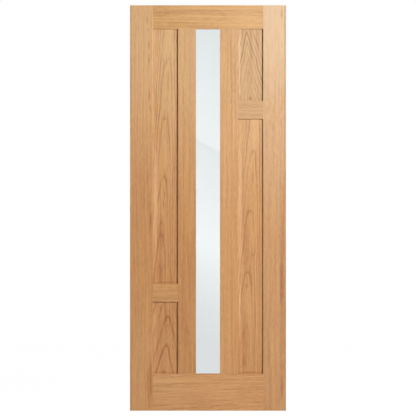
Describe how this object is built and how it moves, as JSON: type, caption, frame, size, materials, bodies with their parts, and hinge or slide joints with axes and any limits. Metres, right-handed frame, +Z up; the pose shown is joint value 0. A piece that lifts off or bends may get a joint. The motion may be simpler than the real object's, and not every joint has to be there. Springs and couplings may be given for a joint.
{
  "type": "oak panel door leaf with a full-height glass slot",
  "caption": "Flush-framed oak door leaf with recessed flat panels, staggered cross rails and a narrow clear glass slot between mullions; hung on hinges to close a doorway and pass light.",
  "frame": {"origin": "on the flat hinge edge (the left edge as seen from the front), at the foot of the leaf, in the middle of its thickness", "axes": "+X from the hinge edge to the lock edge, +Y from the front face to the back face with its glazing beads, +Z up the leaf"},
  "size_m": [0.762, 0.035, 1.981],
  "materials": {
    "oak_frame": "satin",
    "oak_panel": "satin",
    "oak_lipping": "satin",
    "oak_bead": "satin",
    "clear_glass": "gloss",
    "glass_seal": "matte"
  },
  "bodies": {
    "root": {"left_stile": "oak_frame", "right_stile": "oak_frame", "top_rail": "oak_frame", "bottom_rail": "oak_frame", "left_mullion": "oak_frame", "right_mullion": "oak_frame", "left_cross_rail": "oak_frame", "right_cross_rail": "oak_frame", "left_short_panel": "oak_panel", "left_long_panel": "oak_panel", "right_long_panel": "oak_panel", "right_short_panel": "oak_panel", "left_lipping": "oak_lipping", "right_lipping": "oak_lipping", "left_bead": "oak_bead", "right_bead": "oak_bead", "top_bead": "oak_bead", "bottom_bead": "oak_bead", "glass_pane": "clear_glass", "front_glass_seal": "glass_seal", "back_glass_seal": "glass_seal"}
  },
  "joints": []
}
